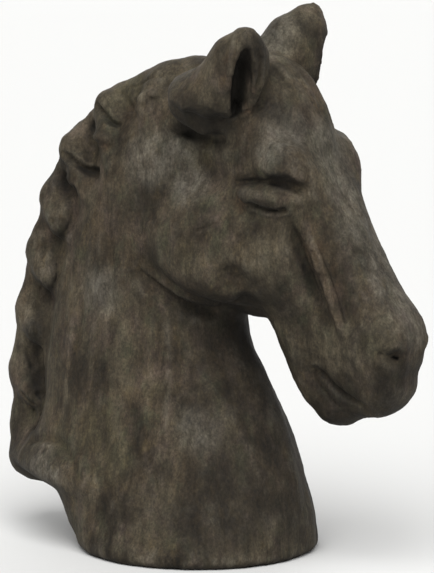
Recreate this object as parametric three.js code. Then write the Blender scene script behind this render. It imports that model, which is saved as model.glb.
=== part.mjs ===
// A horse's head and neck carved from one block of wood: a bust cut flat under the neck.
//
// Millimetres, +Z up, the horse looks along +X and its right side is -Y. The origin is the middle of the
// flat underside. The carving is one signed distance field: masses that run into each other with a
// rounded joint, and hollows cut out of them with a rounded lip. The field is turned into a closed mesh
// on a grid, and the mesh is thinned where the surface is nearly flat.

import * as THREE from 'three';

// Overall sizes.
const HEIGHT = 463; // underside to the tips of the ears
const BASE_RADIUS = 103; // the round foot of the neck
const BASE_EDGE = 4; // rounding of the foot's lower edge

// The head is set out along the face: "down" runs from the poll to the lips, "out" stands off the nose
// line (negative is inside the head), "side" is the distance from the middle plane.
const FACE_ANGLE = 60; // degrees that the nose line drops below level
const POLL = [78.7, 427.6]; // x and z where the nose line meets the poll

const JOWL = { x: 52, z: 276, long: 82, high: 58, side: 60, lean: 0.2, turn: 0.06 };

const EAR_FOOT = [43, 44, 381];
const EAR_TIPS = { left: [78, 61, HEIGHT], right: [83, 61, HEIGHT - 11] }; // the right one is worn blunt
const EAR_FACING = [0.76, 0.65, 0]; // the way the opening looks
const EAR_LIP = 5; // rounding of its rim and of its foot

// Oval sections of an ear as shares of its length: along, middle, half depth, half width, and how far the
// section stands towards the face.
const EAR = [
  [-0.12, -0.22, 0.4, 0.34, -0.07],
  [0, -0.15, 0.46, 0.4, -0.06],
  [0.3, -0.06, 0.37, 0.36, 0.06],
  [0.5, -0.04, 0.33, 0.33, 0.08],
  [0.7, -0.05, 0.28, 0.28, 0.08],
  [0.85, -0.02, 0.2, 0.19, 0.08],
  [0.95, -0.02, 0.12, 0.12, 0.06],
  [1, -0.01, 0.05, 0.05, 0.05],
];
const EAR_HOLLOW = [
  [0.06, 0.34, 0.1, 0.04, 0.14],
  [0.3, 0.27, 0.3, 0.08, 0.1],
  [0.5, 0.23, 0.32, 0.1, 0.08],
  [0.68, 0.19, 0.23, 0.09, 0.06],
  [0.8, 0.16, 0.15, 0.05, 0.04],
  [0.88, 0.14, 0.07, 0.02, 0.03],
];

// The mane's crest and its locks. Where a size changes, the first value is at the poll and the last at
// the lower end.
const MANE_RADIUS = 17; // half thickness of the crest
const LOCK_RADIUS = [17, 15];
const LOCK_SPREAD = [38, 17]; // how far its point lies from the middle plane
const LOCK_SWEEP = [50, 12]; // how far a lock runs forward over the neck
const LOCK_FALL = [16, 32]; // how far it falls along the crest
const LOCK_JOINT = [4, 9]; // rounding where it meets the crest and its neighbours
const LOCK_CUT = 4; // radius of the groove under the great locks
const LOCK_DROP = 22; // from a lock's middle line to the groove's
const LOCK_REACH = 80;

const GREAT_LOCKS = 2; // the deep-cut ones below the first

// The ledge that closes the mane at its lower end, and the valley that parts the lower mane from the neck.
const LEDGE = { x: -161, z: 60, long: 29, side: 26, high: 22 };
const VALLEY = { inward: 27, side: 26, radius: 4, reach: 150 };

// Where each lock's root lies, as a share of the crest's length, and how far it stands off the crest.
const LOCKS = [
  [0.06, -8], [0.195, 5], [0.32, 5], [0.435, 2], [0.555, 3], [0.68, 2], [0.815, 4], [0.93, 1],
];

// Finish of the mesh.
const GRID = 2.3;
const BLOCK = 4; // grid cells along a block that is skipped when it is clear of the surface
const TRIANGLES = 9600;

// Oval sections of the neck: height, middle, half length and half width.
const NECK = [
  [0, -1, BASE_RADIUS, BASE_RADIUS],
  [10, -3, BASE_RADIUS + 1, BASE_RADIUS],
  [20, -8, 109, 98],
  [33, -12, 113, 94],
  [47, -19, 118, 90],
  [57, -36, 134, 87],
  [67, -41, 138, 84],
  [90, -36, 126, 77],
  [122, -36, 114, 70],
  [152, -44, 106, 64],
  [173, -49, 99, 60],
  [194, -51, 94, 56],
  [225, -48, 91, 51],
  [260, -42, 88, 48],
  [300, -32, 84, 46],
  [345, -16, 78, 42],
  [380, 8, 62, 36],
  [400, 26, 42, 28],
];

// Oval sections of the skull and nose: down, middle, half depth and half width.
const NOSE = [
  [8, -40, 36, 36],
  [45, -40, 43, 47],
  [95, -43, 43, 50],
  [125, -40, 41, 46],
  [150, -38, 38, 39],
  [190, -36, 36, 35],
  [240, -36, 37, 34],
  [270, -42, 36, 33],
  [292, -48, 26, 26],
];

// Oval sections of the lower jaw: down, middle, half depth and half width.
const JAW = [
  [130, -76, 46, 38],
  [180, -76, 37, 36],
  [220, -79, 37, 31],
  [262, -85, 34, 26],
  [284, -88, 24, 21],
];

// Rounded masses and hollows on the head: down, out and side of the middle, half sizes down, out and
// side, and the rounding of the joint.
const BROW = [95, -17, 38, 27, 18, 19, 18];
const FORELOCK = [48, -3.5, 0, 42, 14, 24, 16];
const BROW_HOLLOW = [64, 3, 43, 18, 10, 14, 9];
const NOSTRIL_SWELL = [252, -28, 13, 29, 30, 23, 12];
const UPPER_LIP = [288, -53, 0, 20, 24, 22, 10];
const CHIN = [282, -88, 0, 19, 21, 21, 9];
const CHEEK_HOLLOW = [164, -102, 64, 20, 14, 14, 14]; // between the cheek and the jaw
const THROAT = { x: 60, z: 217, long: 15, side: 20, high: 12, round: 16 }; // where the jaw meets the neck

// The groove under the back of the cheek: clearances from the cheek's edge, radius, and the part of the
// cheek's circle that it follows.
const CHEEK_GROOVE = { back: 4, below: 8, inward: 4, radius: 10, from: 195, to: 290, step: 12 };

// Lines on the sides of the face: x, z, how deep the middle of the line lies, and its radius.
const LIDS = [[68, 315, 1, 3], [82, 313, 2, 8], [95, 311, 3.5, 11.5], [108, 308, 3, 9.5], [120, 305, 0, 4]];
const LID_FOLD = [
  [64, 324, 0, 2.5], [85, 328, 0, 3.2], [101, 329, 0, 4], [116, 327, 0, 6], [127, 321, 1, 6.5],
];
const EYE_SLOT = [[86, 312, 0, 2], [99, 307, 0, 3.4], [112, 305.5, 0, 3.4], [120, 307, 0, 2]];
const MOUTH = [
  [129, 170, 0, 2.5], [141, 163, 0, 3.2], [154, 153, 0, 3.4], [165, 146.5, 0, 3.4], [176, 138, 0, 3],
];
const NOSTRIL = [[197, 188.5, 2, 3.5], [202, 187, 5, 5], [206, 184, 5, 3.5]];
const UNDER_EAR = [[4, 363, -2, 5], [22, 357, -2, 6], [42, 355, -2, 6], [62, 359, -2, 5]];

// Lines in the head's own directions: down, out, side and radius. The ridge runs from the inner corner of
// the eye to the nostril, with a groove on each side, and the notch parts the lips in front.
const FACE_RIDGE = [[142, -24, 39, 5], [180, -31, 37, 5], [236, -40, 34, 5]];
const BELOW_RIDGE = [[146, -37, 46, 6], [190, -44, 42, 6], [222, -48, 39, 4]];
const ABOVE_RIDGE = [[150, -14, 38, 3], [195, -21, 37, 3], [232, -30, 36, 3]];
const LIP_NOTCH = [[297, -60, 20, 2.5], [305, -66, 0, 3]];

// The crest of the mane in the middle plane, from the poll to its lower end: x and z.
const CREST = [
  [-1, 403], [-28, 398], [-55, 385], [-85, 365], [-112, 337], [-134, 297],
  [-150, 253], [-162, 206], [-170, 158], [-172, 112], [-172, 66],
];

// Small maths.
const clamp = (v, low, high) => Math.min(high, Math.max(low, v));
const mix = (a, b, t) => a + (b - a) * t;
const length = (x, y, z = 0) => Math.sqrt(x * x + y * y + z * z);

// Joins two distances with a rounded joint that is `round` wide.
function join(a, b, round) {
  const h = Math.max(round - Math.abs(a - b), 0) / round;
  return Math.min(a, b) - h * h * round * 0.25;
}
const cut = (a, b, round) => -join(-a, b, round);

// Distance to an egg from its middle, true near its surface. A power above 2 flattens its a and b sides.
function egg(a, b, c, ra, rb, rc, power = 2) {
  const pa = power === 2 ? (a / ra) ** 2 : Math.abs(a / ra) ** power;
  const pb = power === 2 ? (b / rb) ** 2 : Math.abs(b / rb) ** power;
  const inner = power === 2 ? Math.sqrt(pa + pb) : (pa + pb) ** (1 / power);
  const near = length(inner, c / rc);
  if (inner < 1e-9 || near < 1e-9) return Math.abs(c) - rc;
  const lean = inner ** (2 - power) * length(a ? pa / a : 0, b ? pb / b : 0);
  return ((near - 1) * near) / length(lean, c / (rc * rc));
}

// Smooth values between rows of a table whose first column rises, as a ready-made lookup.
function stations(rows, steps = 240) {
  const first = rows[0][0];
  const last = rows[rows.length - 1][0];
  const columns = rows[0].length - 1;
  const slope = (i, c) => {
    const a = rows[Math.max(i - 1, 0)];
    const b = rows[Math.min(i + 1, rows.length - 1)];
    return (b[c] - a[c]) / (b[0] - a[0]);
  };
  const table = new Float64Array((steps + 1) * columns);
  let row = 0;
  for (let s = 0; s <= steps; s++) {
    const t = mix(first, last, s / steps);
    while (row < rows.length - 2 && t > rows[row + 1][0]) row++;
    const span = rows[row + 1][0] - rows[row][0];
    const u = (t - rows[row][0]) / span;
    for (let c = 1; c <= columns; c++) {
      const a = rows[row][c];
      const b = rows[row + 1][c];
      const bend = span * (u * (1 - u) ** 2 * slope(row, c) - u * u * (1 - u) * slope(row + 1, c));
      table[s * columns + c - 1] = mix(a, b, u * u * (3 - 2 * u)) + bend;
    }
  }
  return { first, last, columns, table, steps };
}

// Distance to a bar of oval sections along t. Its ends are rounded over by a share of the section there.
// A fifth column, where the sections have one, moves them along b.
const END_ROUND = 0.6;
function bar(made, t, a, b, power = 2) {
  const { first, last, columns, table, steps } = made;
  const inside = clamp(t, first, last);
  const place = ((inside - first) / (last - first)) * steps;
  const s = Math.min(Math.floor(place), steps - 1);
  const u = place - s;
  const i = s * columns;
  const value = (c) => mix(table[i + c], table[i + columns + c], u);
  const ra = value(1);
  const rb = value(2);
  const off = columns > 3 ? value(3) : 0;
  return egg(a - value(0), b - off, t - inside, ra, rb, Math.min(ra, rb) * END_ROUND, power);
}

// Distance to a string of round-ended tapering rods. Each point is x, y, z and radius.
function rods(points, x, y, z, round) {
  let d = Infinity;
  for (let i = 1; i < points.length; i++) {
    const [ax, ay, az, ar] = points[i - 1];
    const [bx, by, bz, br] = points[i];
    const dx = bx - ax;
    const dy = by - ay;
    const dz = bz - az;
    const t = clamp(
      ((x - ax) * dx + (y - ay) * dy + (z - az) * dz) / (dx * dx + dy * dy + dz * dz), 0, 1);
    const here = length(x - ax - dx * t, y - ay - dy * t, z - az - dz * t) - mix(ar, br, t);
    d = d === Infinity ? here : join(d, here, round);
  }
  return d;
}

// The head's own directions.
const drop = (FACE_ANGLE * Math.PI) / 180;
const DOWN = [Math.cos(drop), -Math.sin(drop)];
const OUT = [Math.sin(drop), Math.cos(drop)];
const downOf = (x, z) => (x - POLL[0]) * DOWN[0] + (z - POLL[1]) * DOWN[1];
const outOf = (x, z) => (x - POLL[0]) * OUT[0] + (z - POLL[1]) * OUT[1];
function onHead(down, out, side) {
  return [
    POLL[0] + DOWN[0] * down + OUT[0] * out,
    side,
    POLL[1] + DOWN[1] * down + OUT[1] * out,
  ];
}

const neckBar = stations(NECK);
const noseBar = stations(NOSE);
const jawBar = stations(JAW);

// The crest of the mane as rods along a smooth curve.
const crestCurve = new THREE.SplineCurve(CREST.map(([x, z]) => new THREE.Vector2(x, z)));
const crestRods = crestCurve.getPoints(24).map((p) => [p.x, 0, p.y, MANE_RADIUS]);

// A lock of the mane: from a knob on the crest it sweeps forward and down over one side of the neck and
// tapers to a point. Moved down the crest by `below`, the same line is the groove under the lock.
function lock([along, rise], side, below = 0, thick = 0) {
  const p = crestCurve.getPointAt(along);
  const t = crestCurve.getTangentAt(along);
  const away = new THREE.Vector2(t.y, -t.x); // off the neck
  const sizes = [LOCK_RADIUS, LOCK_SPREAD, LOCK_SWEEP, LOCK_FALL];
  const [radius, spread, sweep, fall] = sizes.map(([first, last]) => mix(first, last, along));
  const at = (down, off, y, r) => [
    p.x + t.x * (down + below) + away.x * off,
    side * y,
    p.y + t.y * (down + below) + away.y * off,
    thick || r,
  ];
  return [
    at(-4, rise, 2, radius * 0.85),
    at(fall * 0.2, rise * 0.6, spread * 0.28, radius),
    at(fall * 0.65, -sweep * 0.4, spread * 0.7, radius * 0.72),
    at(fall, -sweep, spread, radius * 0.35),
  ];
}

// Every mass and hollow: a point and a reach around it, the joint's rounding, and its distance.
const forms = [];
function add(at, reach, round, field, carve = false) {
  forms.push({ x: at[0], y: at[1], z: at[2], reach, round, field, carve });
}
const carve = (at, reach, round, field) => add(at, reach, round, field, true);

// A mass in the head's directions, on both sides.
function headEgg(down, out, side, rDown, rOut, rSide, round, hollow = false) {
  const centre = onHead(down, out, side);
  const reach = 1.2 * Math.max(rDown, rOut, rSide) + 1.5 * round;
  for (const s of side ? [-1, 1] : [1])
    add([centre[0], s * side, centre[2]], reach, round, (x, y, z) =>
      egg(outOf(x, z) - out, s * y - side, downOf(x, z) - down, rOut, rSide, rDown), hollow);
}

function headRods(points, round, hollow = false) {
  const set = points.map(([down, out, side, r]) => [...onHead(down, out, side), r]);
  const middle = new THREE.Box3().setFromPoints(set.map((p) => new THREE.Vector3(...p)));
  const centre = middle.getCenter(new THREE.Vector3());
  const reach = middle.getSize(new THREE.Vector3()).length() / 2 + Math.max(...set.map((p) => p[3])) + round;
  for (const s of [-1, 1])
    add([centre.x, s * centre.y, centre.z], reach, round, (x, y, z) => rods(set, x, s * y, z, 6), hollow);
}

function buildHead() {
  const faceLength = NOSE.at(-1)[0];
  const middle = onHead(faceLength / 2, -50, 0);
  add(middle, faceLength, 24, (x, y, z) => bar(noseBar, downOf(x, z), outOf(x, z), y, 2.8));
  add(middle, faceLength, 16, (x, y, z) => bar(jawBar, downOf(x, z), outOf(x, z), y, 2.4));
  // The round cheek: a thick disc that stands off the neck.
  const { x: jx, z: jz, long, high, side, lean, turn } = JOWL;
  add([jx, 0, jz], length(long, side) + 30, 13, (x, y, z) => {
    const [dx, dz] = [x - jx, z - jz];
    const across = length(dx / long, dz / high) * high;
    return egg(across, Math.abs(y) + lean * dz + turn * dx, 0, high, side, 1, 3);
  });
  const { x: tx, z: tz, long: deep, side: wide, high: tall, round } = THROAT;
  add([tx, 0, tz], 2 * wide + round, round, (x, y, z) => egg(x - tx, y, z - tz, deep, wide, tall));
  headEgg(...BROW);
  headEgg(...FORELOCK);
  headEgg(...BROW_HOLLOW, true);
  headEgg(...NOSTRIL_SWELL);
  headEgg(...UPPER_LIP);
  headEgg(...CHIN);
}

function buildCheekGroove() {
  const { x: jx, z: jz, long, high, side } = JOWL;
  const { back, below, inward, radius, from, to, step } = CHEEK_GROOVE;
  const points = [];
  for (let degrees = from; degrees <= to; degrees += step) {
    const turn = (degrees * Math.PI) / 180;
    const [c, s] = [Math.cos(turn), Math.sin(turn)];
    points.push([jx + (long + back) * c, side - inward, jz + (high + below) * s, radius]);
  }
  for (const s of [-1, 1])
    carve([jx, s * side, jz], long + 3 * radius, 5, (x, y, z) => rods(points, x, s * y, z, 6));
}

// How far out the surface built so far lies, straight to the side of a point in the middle plane.
function sideAt(x, z) {
  let out = 120;
  while (out > 0 && sculpture(x, out, z) > 0) out -= 2;
  let step = 2;
  while (step > 0.05) {
    step /= 2;
    out += sculpture(x, out + step, z) > 0 ? 0 : step;
  }
  return out;
}

// A stroke along the surface on both sides of the head, from points in the middle plane: x, z, how deep
// its middle lies and its radius. It stands on the surface as a ridge, or is cut into it.
function stroke(points, round, hollow) {
  const set = points.map(([x, z, deep, r]) => [x, sideAt(x, z) - deep, z, r]);
  const box = new THREE.Box3().setFromPoints(set.map((p) => new THREE.Vector3(...p)));
  const middle = box.getCenter(new THREE.Vector3());
  const wide = Math.max(...set.map((p) => p[3]));
  const reach = box.getSize(new THREE.Vector3()).length() / 2 + 1.5 * wide + 1.5 * round;
  for (const s of [-1, 1])
    add([middle.x, s * middle.y, middle.z], reach, round, (x, y, z) => rods(set, x, s * y, z, 4), hollow);
}

function buildFace() {
  // Eye: closed lids as one almond, a deep fold above them and a slot between them.
  stroke(LIDS, 4, false);
  stroke(LID_FOLD, 4, true);
  stroke(EYE_SLOT, 2, true);
  headRods(FACE_RIDGE, 5);
  headRods(BELOW_RIDGE, 6, true);
  headRods(ABOVE_RIDGE, 5, true);
  headEgg(...CHEEK_HOLLOW, true);
  stroke(MOUTH, 3, true);
  headRods(LIP_NOTCH, 3, true);
  stroke(NOSTRIL, 2, true);
  stroke(UNDER_EAR, 6, true);
}

// An ear: a broad cupped leaf, hollowed from the front.
function buildEar(side, tipAt) {
  const foot = new THREE.Vector3(...EAR_FOOT);
  const axis = new THREE.Vector3(...tipAt).sub(foot);
  const tall = axis.length();
  axis.normalize();
  const facing = new THREE.Vector3(...EAR_FACING);
  facing.addScaledVector(axis, -facing.dot(axis)).normalize();
  const inward = new THREE.Vector3().crossVectors(facing, axis);
  const sized = (rows) => stations(rows.map((row) => row.map((share) => share * tall)));
  const leaf = sized(EAR);
  const hollow = sized(EAR_HOLLOW);
  const p = new THREE.Vector3();
  const local = (x, y, z) => {
    p.set(x - foot.x, side * y - foot.y, z - foot.z);
    return [p.dot(axis), p.dot(facing), p.dot(inward)];
  };
  const middle = foot.clone().addScaledVector(axis, tall / 2);
  const at = [middle.x, side * middle.y, middle.z];
  add(at, tall * 0.9, EAR_LIP, (x, y, z) => bar(leaf, ...local(x, y, z)));
  carve(at, tall * 0.9, EAR_LIP, (x, y, z) => bar(hollow, ...local(x, y, z)));
}

function buildEars() {
  buildEar(1, EAR_TIPS.left);
  buildEar(-1, EAR_TIPS.right);
}

function buildMane() {
  add([-100, 0, 250], 260, 14, (x, y, z) => rods(crestRods, x, y, z, 4));
  const { x: lx, z: lz, long, side: wide, high } = LEDGE;
  add([lx, 0, lz], 2 * long, 14, (x, y, z) => egg(x - lx, y, z - lz, long, wide, high));
  for (const root of LOCKS)
    for (const side of [-1, 1]) {
      const set = lock(root, side);
      add(set[1], LOCK_REACH, mix(...LOCK_JOINT, root[0]), (x, y, z) => rods(set, x, y, z, 4));
    }
  for (const root of LOCKS.slice(1, GREAT_LOCKS + 1))
    for (const side of [-1, 1]) {
      const set = lock(root, side, LOCK_DROP, LOCK_CUT);
      carve(set[1], LOCK_REACH, 5, (x, y, z) => rods(set.slice(1), x, y, z, 4));
    }
}

// The valley between the lower mane and the neck.
function buildManeValley() {
  const { inward, side, radius, reach } = VALLEY;
  const points = crestCurve.getSpacedPoints(20).slice(8).map((p) => [p.x + inward, side, p.y, radius]);
  const [x, , z] = points[Math.floor(points.length / 2)];
  for (const s of [-1, 1])
    carve([x, s * side, z], reach, 6, (px, py, pz) => rods(points, px, s * py, pz, 4));
}

buildHead();
buildMane();
buildManeValley();
buildCheekGroove();
buildFace();
buildEars();

// The whole carving, cut off flat at the underside.
function sculpture(x, y, z) {
  let d = bar(neckBar, z, x, y);
  for (const f of forms) {
    const gap = length(x - f.x, y - f.y, z - f.z) - f.reach;
    if (gap > (f.carve ? 0 : d + f.round)) continue;
    const here = f.field(x, y, z);
    d = f.carve ? cut(d, here, f.round) : join(d, here, f.round);
  }
  return cut(d, z, BASE_EDGE * 1.7);
}

// Fills the gaps that are thinner than the grid, so that the surface never touches itself: no side and no
// body of a grid cell is left with solid only in opposite corners.
function closeGaps(value, n, stride) {
  const fill = -GRID * 0.05;
  const inside = (c) => value[c] < 0;
  const pairs = [[stride[0], stride[1]], [stride[0], stride[2]], [stride[1], stride[2]]];
  const all = stride[0] + stride[1] + stride[2];
  let filled = 1;
  while (filled) {
    filled = 0;
    for (let k = 0; k < n[2] - 1; k++)
      for (let j = 0; j < n[1] - 1; j++)
        for (let i = 0; i < n[0] - 1; i++) {
          const c = (k * n[1] + j) * n[0] + i;
          for (const [u, v] of pairs) {
            const solid = inside(c);
            if (solid !== inside(c + u + v) || solid === inside(c + u) || solid === inside(c + v)) continue;
            for (const q of solid ? [c + u, c + v] : [c, c + u + v]) value[q] = fill;
            filled++;
          }
          for (const turn of [0, ...stride]) {
            const [a, b] = [c + turn, c + all - turn];
            const solid = inside(a);
            if (solid !== inside(b)) continue;
            const rest = corners(c, stride).filter((q) => q !== a && q !== b);
            if (rest.some((q) => inside(q) === solid)) continue;
            for (const q of solid ? rest : [a, b]) value[q] = fill;
            filled++;
          }
        }
  }
}

function corners(c, [u, v, w]) {
  return [c, c + u, c + v, c + u + v, c + w, c + u + w, c + v + w, c + u + v + w];
}

// A closed mesh of the field's zero surface: one vertex in each grid cell that the surface crosses, and
// one four-sided face across each grid edge that it crosses.
function skin(field, low, high, step) {
  const n = [0, 1, 2].map((i) => Math.ceil((high[i] - low[i]) / step) + 1);
  const at = (i, j, k) => (k * n[1] + j) * n[0] + i;
  const value = new Float64Array(n[0] * n[1] * n[2]);
  const clear = BLOCK * step * 1.6;
  for (let bk = 0; bk < n[2]; bk += BLOCK)
    for (let bj = 0; bj < n[1]; bj += BLOCK)
      for (let bi = 0; bi < n[0]; bi += BLOCK) {
        const [mx, my, mz] = [bi, bj, bk].map((v, m) => low[m] + (v + BLOCK / 2) * step);
        const middle = field(mx, my, mz);
        for (let k = bk; k < Math.min(bk + BLOCK, n[2]); k++)
          for (let j = bj; j < Math.min(bj + BLOCK, n[1]); j++)
            for (let i = bi; i < Math.min(bi + BLOCK, n[0]); i++) {
              const near = Math.abs(middle) < clear;
              value[at(i, j, k)] = near
                ? field(low[0] + i * step, low[1] + j * step, low[2] + k * step)
                : middle;
            }
      }
  const stride = [1, n[0], n[0] * n[1]];
  closeGaps(value, n, stride);
  const corner = [0, 1, 2, 3, 4, 5, 6, 7].map((c) => [c & 1, (c >> 1) & 1, c >> 2]);
  const edges = [0, 1, 2].flatMap((m) => corner.map((_, a) => [a, a | (1 << m)]).filter(([a, b]) => a !== b));
  const vertexOf = new Map();
  const points = [];
  for (let k = 0; k < n[2] - 1; k++)
    for (let j = 0; j < n[1] - 1; j++)
      for (let i = 0; i < n[0] - 1; i++) {
        const v = corners(at(i, j, k), stride).map((c) => value[c]);
        if (v.every((q) => q < 0) || v.every((q) => q >= 0)) continue;
        const sum = [0, 0, 0];
        let count = 0;
        for (const [a, b] of edges) {
          if (v[a] < 0 === v[b] < 0) continue;
          const t = v[a] / (v[a] - v[b]);
          for (let m = 0; m < 3; m++) sum[m] += mix(corner[a][m], corner[b][m], t);
          count++;
        }
        vertexOf.set(at(i, j, k), points.length);
        points.push([
          low[0] + (i + sum[0] / count) * step,
          low[1] + (j + sum[1] / count) * step,
          low[2] + (k + sum[2] / count) * step,
        ]);
      }
  const triangles = [];
  for (let k = 1; k < n[2] - 1; k++)
    for (let j = 1; j < n[1] - 1; j++)
      for (let i = 1; i < n[0] - 1; i++)
        for (let m = 0; m < 3; m++) {
          const here = at(i, j, k);
          const inside = value[here] < 0;
          if (inside === value[here + stride[m]] < 0) continue;
          const u = stride[(m + 1) % 3];
          const w = stride[(m + 2) % 3];
          const quad = [here, here - u, here - u - w, here - w].map((c) => vertexOf.get(c));
          if (!inside) quad.reverse();
          triangles.push([quad[0], quad[1], quad[2]], [quad[0], quad[2], quad[3]]);
        }
  return largest(points, triangles);
}

// Keeps the outer body and drops any closed pocket inside it. Faces belong together across an edge.
function largest(points, triangles) {
  const root = triangles.map((_, i) => i);
  const find = (i) => {
    while (root[i] !== i) i = root[i] = root[root[i]];
    return i;
  };
  const other = new Map();
  const key = (a, b) => a * points.length + b;
  triangles.forEach(([a, b, c], i) => [[a, b], [b, c], [c, a]].forEach(([p, q]) => other.set(key(p, q), i)));
  triangles.forEach(([a, b, c], i) =>
    [[a, b], [b, c], [c, a]].forEach(([p, q]) => {
      root[find(i)] = find(other.get(key(q, p)));
    }));
  const size = new Map();
  triangles.forEach((_, i) => size.set(find(i), (size.get(find(i)) ?? 0) + 1));
  const [main] = [...size].reduce((best, one) => (one[1] > best[1] ? one : best));
  return { points, triangles: triangles.filter((_, i) => find(i) === main) };
}

const minus = (a, b) => [a[0] - b[0], a[1] - b[1], a[2] - b[2]];
const dot = (a, b) => a[0] * b[0] + a[1] * b[1] + a[2] * b[2];
const cross = (a, b) => [
  a[1] * b[2] - a[2] * b[1], a[2] * b[0] - a[0] * b[2], a[0] * b[1] - a[1] * b[0],
];
const faceNormal = (a, b, c) => cross(minus(b, a), minus(c, a));

// A queue that hands out its cheapest entry first.
class Queue {
  items = [];
  push(item) {
    const q = this.items;
    let i = q.push(item) - 1;
    while (i > 0) {
      const up = (i - 1) >> 1;
      if (q[up].cost <= item.cost) break;
      q[i] = q[up];
      i = up;
    }
    q[i] = item;
  }
  pop() {
    const q = this.items;
    const top = q[0];
    const last = q.pop();
    if (q.length) {
      let i = 0;
      for (;;) {
        let next = 2 * i + 1;
        if (next >= q.length) break;
        if (next + 1 < q.length && q[next + 1].cost < q[next].cost) next++;
        if (q[next].cost >= last.cost) break;
        q[i] = q[next];
        i = next;
      }
      q[i] = last;
    }
    return top;
  }
}

// Thins a closed mesh to `target` triangles. Each step closes up the edge whose loss moves the surface
// least, and keeps the mesh closed and its faces the right way round.
function thin({ points, triangles }, target) {
  const round = points.map(() => new Set());
  const error = points.map(() => new Float64Array(10));
  triangles.forEach(([a, b, c], i) => {
    const n = faceNormal(points[a], points[b], points[c]);
    const area = Math.sqrt(dot(n, n));
    const [x, y, z] = n.map((v) => v / area);
    const w = -dot([x, y, z], points[a]);
    const plane = [x * x, x * y, x * z, x * w, y * y, y * z, y * w, z * z, z * w, w * w];
    for (const p of [a, b, c]) {
      round[p].add(i);
      for (let k = 0; k < 10; k++) error[p][k] += plane[k] * area;
    }
  });
  const costAt = (q, [x, y, z]) =>
    q[0] * x * x + q[4] * y * y + q[7] * z * z + q[9] +
    2 * (q[1] * x * y + q[2] * x * z + q[5] * y * z + q[3] * x + q[6] * y + q[8] * z);
  // The point of least error, or the middle of the edge where the surface is too flat to tell.
  const best = (q, a, b) => {
    const middle = [(a[0] + b[0]) / 2, (a[1] + b[1]) / 2, (a[2] + b[2]) / 2];
    const rows = [[q[0], q[1], q[2]], [q[1], q[4], q[5]], [q[2], q[5], q[7]]];
    const pull = [q[3], q[6], q[8]].map((v, i) => -v - dot(rows[i], middle));
    const det = dot(rows[0], cross(rows[1], rows[2]));
    const size = (q[0] + q[4] + q[7]) / 3;
    if (det < 1e-3 * size ** 3) return middle;
    const move = [
      dot(pull, cross(rows[1], rows[2])) / det,
      dot(pull, cross(rows[2], rows[0])) / det,
      dot(pull, cross(rows[0], rows[1])) / det,
    ];
    const edge = minus(a, b);
    return dot(move, move) > 0.5 * dot(edge, edge) ? middle : middle.map((v, i) => v + move[i]);
  };
  const version = new Uint32Array(points.length);
  const queue = new Queue();
  const offer = (a, b) => {
    const q = error[a].map((v, i) => v + error[b][i]);
    const place = best(q, points[a], points[b]);
    const edge = minus(points[a], points[b]);
    const cost = costAt(q, place) + 1e-4 * dot(edge, edge);
    queue.push({ cost, a, b, place, key: version[a] + version[b] });
  };
  const neighbours = (p) => {
    const found = new Set();
    for (const i of round[p]) for (const v of triangles[i]) if (v !== p) found.add(v);
    return found;
  };
  const turnsOver = (p, other, place) => {
    for (const i of round[p]) {
      const face = triangles[i];
      if (face.includes(other)) continue;
      const was = faceNormal(...face.map((v) => points[v]));
      const now = faceNormal(...face.map((v) => (v === p ? place : points[v])));
      if (dot(was, now) < 0.7 * Math.sqrt(dot(was, was) * dot(now, now)) || dot(now, now) < 1e-2) return true;
    }
    return false;
  };
  for (const [a, b, c] of triangles)
    for (const [p, q] of [[a, b], [b, c], [c, a]]) if (p < q) offer(p, q);
  let left = triangles.length;
  while (left > target && queue.items.length) {
    const { a, b, place, key } = queue.pop();
    if (!round[a].size || !round[b].size || key !== version[a] + version[b]) continue;
    const [nearA, nearB] = [neighbours(a), neighbours(b)];
    if (!nearA.has(b) || [...nearA].filter((v) => nearB.has(v)).length !== 2) continue;
    if (turnsOver(a, b, place) || turnsOver(b, a, place)) continue;
    for (const i of round[b]) {
      const face = triangles[i];
      if (face.includes(a)) {
        for (const v of face) if (v !== b) round[v].delete(i);
        triangles[i] = null;
        left--;
      } else {
        face[face.indexOf(b)] = a;
        round[a].add(i);
      }
    }
    round[b].clear();
    points[a] = place;
    for (let k = 0; k < 10; k++) error[a][k] += error[b][k];
    version[a] += 1e6;
    for (const v of neighbours(a)) offer(a, v);
  }
  const kept = triangles.filter(Boolean);
  const number = new Map();
  for (const v of kept.flat()) if (!number.has(v)) number.set(v, number.size);
  return {
    points: [...number.keys()].map((v) => points[v]),
    triangles: kept.map((face) => face.map((v) => number.get(v))),
  };
}

const fine = skin(sculpture, [-215, -120, -8], [245, 120, HEIGHT + 12], GRID);
const made = thin(fine, TRIANGLES);
for (const p of made.points) if (Math.abs(p[2]) < 0.2) p[2] = 0;

const geometry = new THREE.BufferGeometry();
geometry.setAttribute('position', new THREE.Float32BufferAttribute(made.points.flat(), 3));
geometry.setIndex(made.triangles.flat());
geometry.computeVertexNormals();

const wood = new THREE.MeshStandardMaterial({ color: 0x4a433a, roughness: 0.75, metalness: 0 });
const head = new THREE.Mesh(geometry, wood);
head.name = 'horse_head';

const sculptureGroup = new THREE.Group();
sculptureGroup.add(head);
export default sculptureGroup;
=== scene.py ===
"""A weathered driftwood horse head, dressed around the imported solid.

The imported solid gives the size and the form. One finer mesh takes its place: the same surface with the
knife work, the cracks and the weathering cut into it.
"""

import math

import bpy
import numpy as np
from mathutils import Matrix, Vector, noise
from mathutils.bvhtree import BVHTree


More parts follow.
